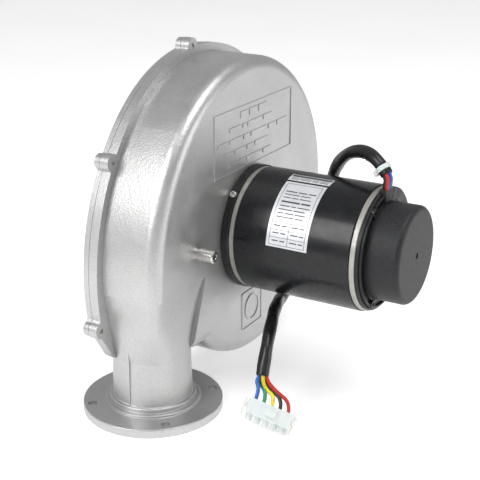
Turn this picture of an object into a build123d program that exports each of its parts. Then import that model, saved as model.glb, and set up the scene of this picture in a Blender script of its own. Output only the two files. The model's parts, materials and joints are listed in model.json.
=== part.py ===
from build123d import *
from math import atan2, cos, degrees, hypot, pi, radians, sin, tan
import os

# Combustion fan for a gas boiler or burner: cast scroll with a round flanged outlet, a closing cover with
# the inlet, a shrouded backward-curved impeller on the shaft of a brushless motor, the motor's electronics
# under a round cap, and the supply cable with its five-way connector.
#
# Frame: origin at the centre of the outlet flange's bottom face, +Z up, motor axis parallel to Y with the
# motor towards -Y. Angles around the motor axis start at +X and rise towards +Z. Millimetres.

os.makedirs("parts", exist_ok=True)

# ------------------------------------------------------------------ driving dimensions
axis_x = 96.0  # motor and impeller axis
axis_z = 119.5

# outlet
flange_r = 52.5
flange_t = 6.5
outlet_bolt_count = 4
outlet_bolt_pcd = 92.0
outlet_bolt_hole_r = 3.3
pipe_foot_r = 30.0
pipe_top_r = 29.0
pipe_bore_r = 25.0
bore_len = 34.0  # the bore is a little wider above this
pipe_top_z = 46.0  # the round pipe ends here and the throat begins
throat_top_z = 103.0  # the throat has reached the scroll's own section here

# scroll, as four tangent arcs around the motor axis
scroll_angles = [225, 315, 405, 495]  # where each arc begins
scroll_radii = [110.8, 118.6, 127.1, 150.6]
scroll_first_centre = (11.3, 4.0)
wall_t = 4.0
face_y = -31.0  # flat face that carries the motor
split_y = 21.0  # joint between housing and gasket
rim_w = 6.0  # how far the bolting rim stands out of the wall
rim_t = 7.0
face_corner_r = 9.5
gasket_t = 0.6
cover_t = 5.0
lug_r = 6.2
lug_angles = [558.5, 508.0, 454.5, 402.0, 350.5, 299.5, 249.0]  # from the one beside the throat, clockwise
cover_screw_d = 4.0
cover_head_r = 3.5
cover_head_t = 3.0  # the heads are sunk to the cover's back

# details of the flat face
spigot_r = 25.0
motor_screw_pcr = 36.0
motor_screw_d = 5.0
tap_x = 16.0
tap_z = 122.0
tap_root_r = 3.0
tap_r = 4.85
tap_len = 15.0
plate_x = 100.0
plate_z = 193.0
plate_w = 119.0
plate_h = 48.0
# rows of raised dashes on the plate: where the row starts, and how long each dash is
plate_rows = [
    (38, [11, 12, 13]),
    (22, [17, 5, 22, 14]),
    (5, [14, 19, 9, 25, 12, 17]),
    (16, [11, 16, 10, 20]),
    (20, [13, 9, 24, 12]),
]
badge_x = 96.5
badge_z = 50.0
badge_w = 32.0
emboss_t = 0.6

# inlet side
inlet_bore_r = 36.0
inlet_boss_r = 58.0
inlet_boss_t = 6.0
inlet_bolt_pcd = 100.0
inlet_bolt_hole_r = 2.5  # tapped M6

# impeller
impeller_r = 85.0
blade_count = 9
blade_t = 1.4
blade_inner_r = 41.0
backplate_y = -19.5
backplate_t = 1.5
eye_r = 38.0
shroud_t = 1.2
hub_r = 15.0

# motor
motor_r = 47.5
drive_bracket_r = 48.0
drive_bracket_t = 6.5
end_ring_t = 4.0
end_ring_r = 47.0
shell_start_y = -41.5
shell_end_y = -134.5
shell_bore_r = 44.0
rear_bracket_y = shell_end_y - end_ring_t
rear_face_y = -143.0
cap_r = 36.7
cap_end_y = -167.6
shaft_r = 6.0
bearing_r = 16.0
bearing_t = 10.0
core_mid_y = -85.0
core_len = 54.0
core_end_a = core_mid_y + core_len / 2
core_end_b = core_mid_y - core_len / 2
core_r = 43.9
tooth_count = 12
tooth_w = 6.4
stator_bore_r = 27.0
rotor_r = 26.0
magnet_t = 3.5
pole_count = 8
through_bolt_angles = [2, 122, 242]
through_bolt_pcr = 41.0

# cable
sleeve_d = 9.5
wire_d = 2.8
wire_names = ["blue", "green", "yellow", "black", "red"]
way_pitch = 6.35

motor_axis = Axis((axis_x, 0, axis_z), (0, 1, 0))
turning = Plane(origin=(axis_x, 0, axis_z))  # local X is the radius and local Y is the model's Y


# ------------------------------------------------------------------ helpers
def facing_motor(y):
    """Plane square to the motor axis at y: local X = +X, local Y = +Z, normal towards the motor, -Y."""
    return Plane(origin=(axis_x, y, axis_z), x_dir=(1, 0, 0), z_dir=(0, -1, 0))


def polar(radius, angle):
    """Point at a radius and an angle in degrees."""
    return (radius * cos(radians(angle)), radius * sin(radians(angle)))


def ring_profile(inner_r, outer_r, y_a, y_b):
    """Half section of a turned ring, to be drawn on the turning plane."""
    with Locations(((inner_r + outer_r) / 2, (y_a + y_b) / 2)):
        Rectangle(outer_r - inner_r, abs(y_b - y_a))


def turned_section(*points):
    """Closed half section of a turned piece through (radius, y) points."""
    Polygon(*points, align=None)


def scroll_centres():
    """Centres of the scroll's arcs: each next one keeps the outline tangent."""
    centres = [Vector(*scroll_first_centre)]
    for i in range(1, len(scroll_radii)):
        step = Vector(*polar(scroll_radii[i - 1] - scroll_radii[i], scroll_angles[i]))
        centres.append(centres[-1] + step)
    return centres


def scroll_arcs(offset, start, end):
    """The scroll's outline, moved outwards by offset, between two directions of its normal."""
    ends = scroll_angles[1:] + [720]
    for centre, radius, arc_a, arc_b in zip(scroll_centres(), scroll_radii, scroll_angles, ends):
        first = max(start, arc_a)
        last = min(end, arc_b)
        if last > first:
            CenterArc((centre.X, centre.Y), radius + offset, first, last - first)


def scroll_point(offset, angle):
    """Point of the outline where its normal points along angle."""
    index = max(i for i, a in enumerate(scroll_angles) if a <= angle)
    centre = scroll_centres()[index]
    x, z = polar(scroll_radii[index] + offset, angle)
    return (centre.X + x, centre.Y + z)


def scroll_region(offset, start, end, *corners):
    """Sketch of what lies inside the outline between two directions, closed through the corners."""
    with BuildSketch() as region:
        with BuildLine():
            scroll_arcs(offset, start, end)
            Polyline(scroll_point(offset, end), *corners, scroll_point(offset, start))
        make_face()
    return region.sketch


def scroll_radius(offset, angle):
    """Distance from the motor axis to the outline along an angle between the first and last arc."""
    index = max(i for i, a in enumerate(scroll_angles) if a <= angle)
    centre = scroll_centres()[index]
    along = centre.dot(Vector(*polar(1, angle)))
    return along + ((scroll_radii[index] + offset) ** 2 - centre.length**2 + along**2) ** 0.5


# bolting lugs around the joint
lug_places = [polar(scroll_radius(rim_w + 0.8, a), a) for a in lug_angles]

# the rim and the cover close along a chord behind the outlet throat
rim_start_angle = 244.7
rim_end_angle = 552.3
throat_end_angle = 542.4
tongue_angle = 225.0


# ------------------------------------------------------------------ scroll housing
def rounded_section(z, x_low, x_high, y_low, y_high, corner):
    """Rounded rectangle across the throat at height z, as eight edges."""
    c = corner
    with BuildSketch(Plane.XY.offset(z)) as section:
        with BuildLine():
            Line((x_low + c, y_low), (x_high - c, y_low))
            RadiusArc((x_high - c, y_low), (x_high, y_low + c), -c)
            Line((x_high, y_low + c), (x_high, y_high - c))
            RadiusArc((x_high, y_high - c), (x_high - c, y_high), -c)
            Line((x_high - c, y_high), (x_low + c, y_high))
            RadiusArc((x_low + c, y_high), (x_low, y_high - c), -c)
            Line((x_low, y_high - c), (x_low, y_low + c))
            RadiusArc((x_low, y_low + c), (x_low + c, y_low), -c)
        make_face()
    return section.sketch


def round_section(z, radius):
    """Circle across the pipe at height z, cut into eight arcs that match rounded_section's edges."""
    half_flat = 10
    starts = [-90 - half_flat, -90 + half_flat, -half_flat, half_flat]
    starts += [a + 180 for a in starts]
    with BuildSketch(Plane.XY.offset(z)) as section:
        with BuildLine():
            for i, start in enumerate(starts):
                size = 2 * half_flat if i % 2 == 0 else 90 - 2 * half_flat
                CenterArc((0, 0), radius, start, size)
        make_face()
    return section.sketch


throat_left_x = axis_x + scroll_point(0, throat_end_angle)[0]
throat_right_x = axis_x + scroll_point(0, tongue_angle)[0] + 8
throat_back_y = split_y + 1
tongue_lean = 25  # the tongue's inner side slopes over by this much up to the top of the throat
web_foot_x = 8.0  # the web between the tongue and the throat meets the pipe's front here


def volute_region(offset, tongue_lean):
    """The scroll without its throat: closed level across the top of the throat and down to the tongue."""
    tongue = scroll_point(offset, tongue_angle)
    level = scroll_point(offset, throat_end_angle)[1]
    return scroll_region(offset, tongue_angle, throat_end_angle, (tongue[0] - tongue_lean, level))


def body_region():
    """The scroll with the web that joins its tongue to the throat and the pipe."""
    web_top = (throat_right_x - face_corner_r - axis_x, scroll_point(0, throat_end_angle)[1])
    web_foot = (web_foot_x - axis_x, pipe_top_z + 1 - axis_z)
    return scroll_region(0, tongue_angle, throat_end_angle, web_top, web_foot)


def rim_region(offset):
    """Outline of the bolted joint, closed by a straight chord behind the throat."""
    return scroll_region(offset, rim_start_angle, rim_end_angle)


def lugs(radius):
    """Round lugs on the joint's outline, each on a foot that widens into the rim."""
    with BuildSketch() as outline:
        for (x, z), angle in zip(lug_places, lug_angles):
            with Locations(Location((x, z), angle)):
                Circle(radius)
                Polygon((0, radius), (-6, radius + 4), (-6, -radius - 4), (0, -radius), align=None)
    return outline.sketch


def throat(inset):
    """Loft from the scroll's section down to the round pipe, with its walls moved inwards by inset."""
    top = rounded_section(
        throat_top_z,
        throat_left_x + inset,
        throat_right_x - inset,
        face_y + inset,
        throat_back_y,
        face_corner_r - inset,
    )
    return loft([top, round_section(pipe_top_z, pipe_top_r - inset)], mode=Mode.PRIVATE)


chord_start = Vector(*scroll_point(rim_w, rim_end_angle))
chord_end = Vector(*scroll_point(rim_w, rim_start_angle))
chord_middle = (chord_start + chord_end) / 2
chord_plane = Plane(
    origin=(axis_x + chord_middle.X, split_y, axis_z + chord_middle.Y),
    x_dir=(chord_end.X - chord_start.X, 0, chord_end.Y - chord_start.Y),
    z_dir=(0, -1, 0),
)
land_w = 7.0  # sealing land along the chord, inside the scroll
land_t = 5.0
step_w = 3.5  # wall below the chord, behind the throat
joint_gap = 1.5  # between the cover's edge and the back of the pipe
# the rim runs down into the side of the pipe below its last lug
ear = [(-40, 73), (-41.5, 66.5), (-37.4, 60.6), (-29.8, 48.6), (-21.6, 42.6), (-10, 45), (-10, 70)]

with BuildPart() as scroll_core:  # space inside the scroll
    with BuildSketch(facing_motor(split_y)):
        add(volute_region(-wall_t, tongue_lean))
    extrude(amount=split_y - face_y - wall_t)
    core_front = scroll_core.faces().sort_by(Axis.Y)[0]
    fillet(core_front.edges().filter_by(GeomType.CIRCLE), face_corner_r - wall_t)

with BuildPart() as closing_wall:  # land and wall that close the back of the throat along the chord
    add(throat(0))
    with BuildSketch(Plane.XY.offset(flange_t)):
        Circle(pipe_bore_r + 2)
    extrude(amount=pipe_top_z - flange_t)
    with BuildSketch(chord_plane.offset(land_t)):
        with Locations((0, (land_w - step_w) / 2)):
            Rectangle(150, land_w + step_w)
    extrude(amount=-20, mode=Mode.INTERSECT)

with BuildPart() as outlet:
    # outlet flange, its two raised steps, the tapered pipe and the throat above it
    with BuildSketch(Plane.XZ):
        with BuildLine():
            FilletPolyline(
                (flange_r, 0),
                (flange_r, flange_t),
                (36, flange_t),
                (36, flange_t + 2),
                (32.5, flange_t + 2),
                (32.5, flange_t + 5.5),
                (pipe_foot_r, flange_t + 5.5),
                (pipe_top_r, pipe_top_z),
                radius=[1, 0.6, 1, 0.5, 1.2, 0.8],
            )
            Polyline((pipe_top_r, pipe_top_z), (0, pipe_top_z), (0, 0), (flange_r, 0))
        make_face()
    revolve(axis=Axis.Z)
    add(throat(0))

with BuildPart() as scroll_housing:
    with BuildSketch(facing_motor(split_y)):
        add(body_region())
    extrude(amount=split_y - face_y)
    housing_front = scroll_housing.faces().sort_by(Axis.Y)[0]
    web_edges = housing_front.edges().filter_by(GeomType.LINE).sort_by(Axis.Z)
    fillet(housing_front.edges().filter_by(GeomType.CIRCLE) + web_edges[:1], face_corner_r)
    # bolting rim and lugs
    with BuildSketch(facing_motor(split_y)):
        add(rim_region(rim_w))
        add(lugs(lug_r))
        Polygon(*[(x - axis_x, z - axis_z) for x, z in ear], align=None)
    extrude(amount=rim_t)
    add(outlet.part)
    # hollow of the scroll, throat and pipe
    add(scroll_core.part, mode=Mode.SUBTRACT)
    add(throat(wall_t), mode=Mode.SUBTRACT)
    with BuildSketch(Plane.XY):
        Circle(pipe_bore_r)
    extrude(amount=bore_len, mode=Mode.SUBTRACT)
    with BuildSketch(Plane.XY.offset(bore_len)):
        Circle(pipe_bore_r + 0.5)
    extrude(amount=pipe_top_z - bore_len, mode=Mode.SUBTRACT)
    add(closing_wall.part)
    # flat joint face for the gasket and the cover
    with BuildSketch(facing_motor(split_y)):
        add(rim_region(rim_w + joint_gap))
        add(lugs(lug_r + joint_gap))
    extrude(amount=-20, mode=Mode.SUBTRACT)
    # motor spigot, motor screws, pressure tap, lugs and outlet bolts
    with BuildSketch(facing_motor(face_y + wall_t + 1)):
        Circle(spigot_r)
        with PolarLocations(motor_screw_pcr, 4, start_angle=45):
            Circle(motor_screw_d / 2 + 0.2)
        with Locations((tap_x - axis_x, tap_z - axis_z)):
            Circle(tap_root_r + 0.05)
    extrude(amount=wall_t + 2, mode=Mode.SUBTRACT)
    with BuildSketch(facing_motor(split_y)):
        with Locations(*lug_places):
            Circle(cover_screw_d / 2 + 0.05)
    extrude(amount=rim_t, mode=Mode.SUBTRACT)
    with BuildSketch(Plane.XY):
        with PolarLocations(outlet_bolt_pcd / 2, outlet_bolt_count, start_angle=45):
            Circle(outlet_bolt_hole_r)
    extrude(amount=flange_t, mode=Mode.SUBTRACT)
    # cast-in detail: plate frame with plain bars, square pad, rib and the parting line on the pipe
    with BuildSketch(facing_motor(face_y)):
        with Locations((plate_x - axis_x, plate_z - axis_z)):
            Rectangle(plate_w, plate_h)
            Rectangle(plate_w - 1.6, plate_h - 1.6, mode=Mode.SUBTRACT)
            for row, (start, dashes) in enumerate(plate_rows):
                for i, length in enumerate(dashes):
                    left = start + sum(dashes[:i]) + 2.2 * i - plate_w / 2
                    with Locations((left + length / 2, plate_h / 2 - 6.5 - row * 8.8)):
                        Rectangle(length, 3.4 if row else 5)
        with Locations((badge_x - axis_x, badge_z - axis_z)):
            RectangleRounded(badge_w, badge_w, 2)
            RectangleRounded(badge_w - 2, badge_w - 2, 1.2, mode=Mode.SUBTRACT)
            Circle(badge_w / 2 - 5)
            Circle(badge_w / 2 - 6.2, mode=Mode.SUBTRACT)
    extrude(amount=emboss_t)
    with BuildSketch(Plane.YZ.offset(-pipe_foot_r - 0.4)):
        with Locations((0, (flange_t + 62) / 2)):
            Rectangle(1.0, 62 - flange_t)
    extrude(amount=4)
scroll_housing.part.label = "scroll_housing"
export_step(scroll_housing.part, "parts/scroll_housing.step")


# ------------------------------------------------------------------ cover, gasket and inlet
cover_y = split_y + gasket_t
cover_back_y = cover_y + cover_t
boss_back_y = cover_back_y + inlet_boss_t
inlet_lip_r = 46.0
inlet_lip_t = 1.5
inlet_tip_y = 9.5  # the inlet ring reaches into the impeller's eye


def on_chord(x, inward):
    """Point at an X on the line that runs parallel to the chord, inside it."""
    along = (chord_end - chord_start).normalized()
    start = chord_start + Vector(-along.Y, along.X) * inward
    return (x, start.Y + (x - start.X) * along.Y / along.X)


window_left = throat_left_x + wall_t - axis_x
window_right = throat_right_x - wall_t - axis_x
throat_window = [
    (window_left, throat_top_z - axis_z),
    (window_right, throat_top_z - axis_z),
    on_chord(window_right - 3, land_w),
    on_chord(window_left + 2, land_w),
]

with BuildPart() as housing_gasket:
    with BuildSketch(facing_motor(cover_y)):
        add(rim_region(rim_w - 0.6))
        add(lugs(lug_r - 0.6))
        add(volute_region(-wall_t, tongue_lean), mode=Mode.SUBTRACT)
        Polygon(*throat_window, align=None, mode=Mode.SUBTRACT)
        with Locations(*lug_places):
            Circle(cover_screw_d / 2 + 0.3, mode=Mode.SUBTRACT)
    extrude(amount=gasket_t)
housing_gasket.part.label = "housing_gasket"
export_step(housing_gasket.part, "parts/housing_gasket.step")

with BuildPart() as inlet_cover:
    for inset, back in ((0.4, cover_back_y - 1), (1.2, cover_back_y)):
        with BuildSketch(facing_motor(back)):
            add(rim_region(rim_w - inset))
            add(lugs(lug_r - inset))
        extrude(amount=back - cover_y)
    # boss around the inlet, on six ribs
    with BuildSketch(facing_motor(boss_back_y)):
        Circle(inlet_boss_r)
    extrude(amount=inlet_boss_t + 1)
    boss_back = inlet_cover.faces().sort_by(Axis.Y)[-1]
    fillet(boss_back.edges(), 1.5)
    with BuildSketch(facing_motor(boss_back_y - 2.5)):
        with PolarLocations(inlet_boss_r + 20, 6, start_angle=30):
            Rectangle(44, 4)
    extrude(amount=inlet_boss_t - 1.5)
    # seat and bore for the inlet ring, tapped holes for the mixer
    with BuildSketch(facing_motor(boss_back_y)):
        Circle(inlet_lip_r + 0.1)
    extrude(amount=inlet_lip_t, mode=Mode.SUBTRACT)
    with BuildSketch(facing_motor(boss_back_y)):
        Circle(inlet_bore_r + 3)
    extrude(amount=inlet_boss_t + cover_t, mode=Mode.SUBTRACT)
    with BuildSketch(facing_motor(boss_back_y)):
        with PolarLocations(inlet_bolt_pcd / 2 + 2, 4, start_angle=45):
            Circle(inlet_bolt_hole_r)
    extrude(amount=9, mode=Mode.SUBTRACT)
    with BuildSketch(facing_motor(cover_back_y)):
        with Locations(*lug_places):
            Circle(cover_screw_d / 2 + 0.25)
    extrude(amount=cover_t, mode=Mode.SUBTRACT)
    with BuildSketch(facing_motor(cover_back_y)):
        with Locations(*lug_places):
            Circle(cover_head_r + 0.25)
    extrude(amount=cover_head_t, mode=Mode.SUBTRACT)
inlet_cover.part.label = "inlet_cover"
export_step(inlet_cover.part, "parts/inlet_cover.step")

with BuildPart() as inlet_ring:
    with BuildSketch(turning):
        with BuildLine():
            FilletPolyline(
                (inlet_lip_r, boss_back_y),
                (inlet_bore_r + 1, boss_back_y),
                (inlet_bore_r - 0.6, boss_back_y - 14),
                (inlet_bore_r - 0.6, inlet_tip_y),
                radius=[6, 12],
            )
            Polyline(
                (inlet_bore_r - 0.6, inlet_tip_y),
                (inlet_bore_r + 0.6, inlet_tip_y),
                (inlet_bore_r + 0.6, boss_back_y - 9),
            )
            FilletPolyline(
                (inlet_bore_r + 0.6, boss_back_y - 9),
                (inlet_bore_r + 1.6, boss_back_y - inlet_lip_t),
                (inlet_lip_r, boss_back_y - inlet_lip_t),
                radius=0.8,
            )
            Line((inlet_lip_r, boss_back_y - inlet_lip_t), (inlet_lip_r, boss_back_y))
        make_face()
    revolve(axis=motor_axis)
inlet_ring.part.label = "inlet_ring"
export_step(inlet_ring.part, "parts/inlet_ring.step")


def socket_screws(places, seat_y, head_r, head_t, shank_r, shank_len, towards):
    """Cylinder-head screws with a hexagon socket: seat plane, and +1 or -1 for where the shank points."""
    with BuildPart() as screws:
        with BuildSketch(facing_motor(seat_y)):
            with Locations(*places):
                Circle(shank_r)
        extrude(amount=-towards * shank_len)
        with BuildSketch(facing_motor(seat_y)):
            with Locations(*places):
                Circle(head_r)
        extrude(amount=towards * head_t)
        head_top = seat_y - towards * head_t
        head_edges = screws.edges().filter_by(GeomType.CIRCLE).filter_by_position(
            Axis.Y, head_top - 0.01, head_top + 0.01
        )
        chamfer(head_edges, head_t * 0.12)
        with BuildSketch(facing_motor(head_top)):
            with Locations(*places):
                RegularPolygon(head_r * 0.55, 6)
        extrude(amount=-towards * head_t * 0.6, mode=Mode.SUBTRACT)
    return screws


cover_seat_y = cover_back_y - cover_head_t
cover_screw_len = cover_seat_y - split_y + rim_t - 1
cover_screws = socket_screws(
    lug_places, cover_seat_y, cover_head_r, cover_head_t, cover_screw_d / 2, cover_screw_len, -1
)
cover_screws.part.label = "cover_screws"
export_step(cover_screws.part, "parts/cover_screws.step")

with BuildPart() as pressure_tap:
    with BuildSketch(Plane(origin=(tap_x, 0, tap_z))):
        with BuildLine():
            Polyline(
                (1.7, face_y + wall_t),
                (tap_root_r, face_y + wall_t),
                (tap_root_r, face_y),
                (tap_r - 0.6, face_y),
                (tap_r - 0.6, face_y - 2.4),
                (tap_r, face_y - 3.2),
                (tap_r, face_y - tap_len + 1),
                (tap_r - 1, face_y - tap_len),
                (1.9, face_y - tap_len),
                (1.7, face_y - tap_len + 0.4),
                close=True,
            )
        make_face()
    revolve(axis=Axis((tap_x, 0, tap_z), (0, 1, 0)))
pressure_tap.part.label = "pressure_tap"
export_step(pressure_tap.part, "parts/pressure_tap.step")

# ------------------------------------------------------------------ impeller
backplate_inner_y = backplate_y + backplate_t
shroud_line = [(eye_r, 15), (eye_r, 9.5), (42, 4.5), (50, 1), (impeller_r, -4)]
hub_front_y = -24.0
hub_back_y = -2.0
nut_r = 6.5
washer_t = 1.6

with BuildPart() as impeller_backplate:
    with BuildSketch(facing_motor(backplate_inner_y)):
        Circle(impeller_r)
        Circle(10.05, mode=Mode.SUBTRACT)
        with PolarLocations(16, 6):
            Circle(1.6, mode=Mode.SUBTRACT)
    extrude(amount=backplate_t)
impeller_backplate.part.label = "impeller_backplate"
export_step(impeller_backplate.part, "parts/impeller_backplate.step")

with BuildPart() as impeller_shroud:
    with BuildSketch(turning):
        with BuildLine():
            FilletPolyline(*shroud_line, radius=[4, 6, 20])
            Line(shroud_line[-1], (impeller_r, shroud_line[-1][1] + shroud_t))
            FilletPolyline(
                (impeller_r, shroud_line[-1][1] + shroud_t),
                (50, 1 + shroud_t),
                (42.8, 4.5 + shroud_t),
                (eye_r + shroud_t, 9.8),
                (eye_r + shroud_t, 15),
                radius=[20, 5, 3],
            )
            Line((eye_r + shroud_t, 15), (eye_r, 15))
        make_face()
    revolve(axis=motor_axis)
impeller_shroud.part.label = "impeller_shroud"
export_step(impeller_shroud.part, "parts/impeller_shroud.step")

blade_mid_r = 63.0
blade_lean = 34.0  # how far the tip trails the root, in degrees

with BuildPart() as impeller_blades:
    with BuildSketch(facing_motor(backplate_inner_y)):
        for blade in range(blade_count):
            root = blade * 360 / blade_count
            with BuildLine(mode=Mode.PRIVATE) as blade_arc:
                ThreePointArc(
                    polar(blade_inner_r + 1, root),
                    polar(blade_mid_r, root - blade_lean * 0.62),
                    polar(impeller_r - 0.6, root - blade_lean),
                )
            trace(blade_arc.line, line_width=blade_t)
    extrude(amount=-30)
    with BuildSketch(turning):
        with BuildLine():
            Polyline((10, backplate_inner_y), (impeller_r, backplate_inner_y), (impeller_r, shroud_line[-1][1]))
            FilletPolyline((impeller_r, shroud_line[-1][1]), (50, 1), (42, 4.5), (40.2, 6.7), radius=[20, 6])
            Polyline((40.2, 6.7), (10, 6.7), (10, backplate_inner_y))
        make_face()
    revolve(axis=motor_axis, mode=Mode.INTERSECT)
impeller_blades.part.label = "impeller_blades"
export_step(impeller_blades.part, "parts/impeller_blades.step")

with BuildPart() as impeller_hub:
    with BuildSketch(turning):
        turned_section(
            (shaft_r + 0.02, hub_front_y),
            (9.2, hub_front_y),
            (10, hub_front_y + 0.8),
            (10, backplate_inner_y),
            (hub_r + 5, backplate_inner_y),
            (hub_r + 5, backplate_inner_y + 3),
            (12, backplate_inner_y + 3),
            (10.5, backplate_inner_y + 5),
            (10.5, hub_back_y),
            (shaft_r + 0.02, hub_back_y),
        )
    revolve(axis=motor_axis)
    with BuildSketch(facing_motor(backplate_inner_y)):
        with PolarLocations(16, 6):
            Circle(1.55)
    extrude(amount=-4, mode=Mode.SUBTRACT)
impeller_hub.part.label = "impeller_hub"
export_step(impeller_hub.part, "parts/impeller_hub.step")

with BuildPart() as hub_rivets:
    with BuildSketch(facing_motor(backplate_y)):
        with PolarLocations(16, 6):
            Circle(1.5)
    extrude(amount=-backplate_t - 3)
    with BuildSketch(facing_motor(backplate_y)):
        with PolarLocations(16, 6):
            Circle(2.6)
    extrude(amount=1)
    with BuildSketch(facing_motor(backplate_inner_y + 4.2)):
        with PolarLocations(16, 6):
            Circle(2.4)
    extrude(amount=1.2)
hub_rivets.part.label = "hub_rivets"
export_step(hub_rivets.part, "parts/hub_rivets.step")

with BuildPart() as impeller_nut:
    with BuildSketch(facing_motor(hub_back_y + washer_t)):
        RegularPolygon(nut_r, 6, major_radius=False)
        Circle(4.02, mode=Mode.SUBTRACT)
    extrude(amount=-6.5)
    chamfer(impeller_nut.edges().filter_by(GeomType.CIRCLE), 0.4)
impeller_nut.part.label = "impeller_nut"
export_step(impeller_nut.part, "parts/impeller_nut.step")

with BuildPart() as impeller_washer:
    with BuildSketch(facing_motor(hub_back_y)):
        Circle(8)
        Circle(4.1, mode=Mode.SUBTRACT)
    extrude(amount=-washer_t)
impeller_washer.part.label = "impeller_washer"
export_step(impeller_washer.part, "parts/impeller_washer.step")

# ------------------------------------------------------------------ motor, drive end
drive_face_y = face_y - drive_bracket_t
front_bearing_y = -38.0
rear_bearing_y = -129.4
hub_bore_r = bearing_r
hub_wall = 5.0

earth_screw_angle = 134.5
earth_out = Vector(polar(1, earth_screw_angle)[0], 0, polar(1, earth_screw_angle)[1])
earth_screw_plane = Plane(
    origin=Vector(axis_x, face_y - drive_bracket_t / 2, axis_z) + earth_out * drive_bracket_r, z_dir=earth_out
)

with BuildPart() as drive_end_bracket:
    with BuildSketch(turning):
        turned_section(
            (13, face_y + 3.5),
            (spigot_r - 0.1, face_y + 3.5),
            (spigot_r - 0.1, face_y),
            (drive_bracket_r - 0.8, face_y),
            (drive_bracket_r, face_y - 0.8),
            (drive_bracket_r, drive_face_y + 0.8),
            (drive_bracket_r - 0.8, drive_face_y),
            (hub_bore_r + hub_wall, drive_face_y),
            (hub_bore_r + hub_wall, front_bearing_y - bearing_t / 2 - 0.5),
            (hub_bore_r, front_bearing_y - bearing_t / 2 - 0.5),
            (hub_bore_r, front_bearing_y + bearing_t / 2),
            (8, front_bearing_y + bearing_t / 2),
            (8, face_y - 0.6),
            (13, face_y - 0.6),
        )
    revolve(axis=motor_axis)
    with BuildSketch(facing_motor(face_y)):
        with PolarLocations(motor_screw_pcr, 4, start_angle=45):
            Circle(motor_screw_d / 2)
    extrude(amount=drive_bracket_t, mode=Mode.SUBTRACT)
    with BuildSketch(facing_motor(drive_face_y)):
        for angle in through_bolt_angles:
            with Locations(polar(through_bolt_pcr, angle)):
                Circle(2)
    extrude(amount=-5, mode=Mode.SUBTRACT)
    with BuildSketch(earth_screw_plane):
        Circle(1.65)
    extrude(amount=-7, mode=Mode.SUBTRACT)
drive_end_bracket.part.label = "drive_end_bracket"
export_step(drive_end_bracket.part, "parts/drive_end_bracket.step")

with BuildPart() as earth_screw:
    with BuildSketch(earth_screw_plane):
        Circle(2.7)
    extrude(amount=1.9)
    fillet(earth_screw.faces().sort_by(lambda f: f.center().dot(earth_out))[-1].edges(), 0.7)
    with BuildSketch(earth_screw_plane):
        Circle(1.6)
    extrude(amount=-6)
    with BuildSketch(earth_screw_plane.offset(1.9)):
        Rectangle(2.6, 0.6)
        Rectangle(0.6, 2.6)
    extrude(amount=-1.1, mode=Mode.SUBTRACT)
earth_screw.part.label = "earth_screw"
export_step(earth_screw.part, "parts/earth_screw.step")


def end_ring(outer_r, y_near, y_far):
    """Machined ring that centres the shell at one end of the motor, with the through bolts' holes."""
    with BuildPart() as ring:
        with BuildSketch(turning):
            ring_profile(37, outer_r, y_near, y_far)
        revolve(axis=motor_axis)
        chamfer(ring.edges().filter_by(GeomType.CIRCLE).group_by(SortBy.RADIUS)[-1], 0.5)
        with BuildSketch(facing_motor(y_near)):
            for angle in through_bolt_angles:
                with Locations(polar(through_bolt_pcr, angle)):
                    Circle(2.2)
        extrude(amount=y_near - y_far, mode=Mode.SUBTRACT)
    return ring


drive_end_ring = end_ring(end_ring_r, drive_face_y, shell_start_y)
drive_end_ring.part.label = "drive_end_ring"
export_step(drive_end_ring.part, "parts/drive_end_ring.step")

rear_end_ring = end_ring(end_ring_r - 0.5, shell_end_y, rear_bracket_y)
rear_end_ring.part.label = "rear_end_ring"
export_step(rear_end_ring.part, "parts/rear_end_ring.step")

with BuildPart() as motor_shell:
    with BuildSketch(turning):
        ring_profile(shell_bore_r, motor_r, shell_start_y, shell_end_y)
    revolve(axis=motor_axis)
    chamfer(motor_shell.edges().filter_by(GeomType.CIRCLE).group_by(SortBy.RADIUS)[-1], 0.5)
motor_shell.part.label = "motor_shell"
export_step(motor_shell.part, "parts/motor_shell.step")

motor_screw_places = [polar(motor_screw_pcr, 45 + 90 * i) for i in range(4)]
motor_mount_screws = socket_screws(
    motor_screw_places, face_y + wall_t, 4.2, 2.8, motor_screw_d / 2, wall_t + drive_bracket_t - 1, -1
)
motor_mount_screws.part.label = "motor_mount_screws"
export_step(motor_mount_screws.part, "parts/motor_mount_screws.step")

with BuildPart() as shaft_seal:
    with BuildSketch(turning):
        turned_section(
            (8.5, face_y - 0.5),
            (12.95, face_y - 0.5),
            (12.95, face_y + 3.2),
            (11.6, face_y + 3.2),
            (11.6, face_y + 0.8),
            (8.2, face_y + 0.8),
            (6.3, face_y + 3),
            (6.3, face_y + 1.6),
        )
    revolve(axis=motor_axis)
shaft_seal.part.label = "shaft_seal"
export_step(shaft_seal.part, "parts/shaft_seal.step")

# ------------------------------------------------------------------ bearings, 6201 size
ball_r = 2.38
ball_count = 8
ball_pitch_r = 11.0
groove_r = 2.46
bearing_places = [front_bearing_y, rear_bearing_y]


def bearing_rings(inner_r, outer_r):
    """One race of each bearing, with the ball groove turned into it."""
    with BuildPart() as rings:
        for middle in bearing_places:
            with BuildSketch(turning):
                ring_profile(inner_r, outer_r, middle - bearing_t / 2, middle + bearing_t / 2)
                with Locations((ball_pitch_r, middle)):
                    Circle(groove_r, mode=Mode.SUBTRACT)
        revolve(axis=motor_axis)
    return rings


bearing_outer_rings = bearing_rings(12.7, bearing_r - 0.02)
bearing_outer_rings.part.label = "bearing_outer_rings"
export_step(bearing_outer_rings.part, "parts/bearing_outer_rings.step")

bearing_inner_rings = bearing_rings(shaft_r + 0.02, 9.3)
bearing_inner_rings.part.label = "bearing_inner_rings"
export_step(bearing_inner_rings.part, "parts/bearing_inner_rings.step")

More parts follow.
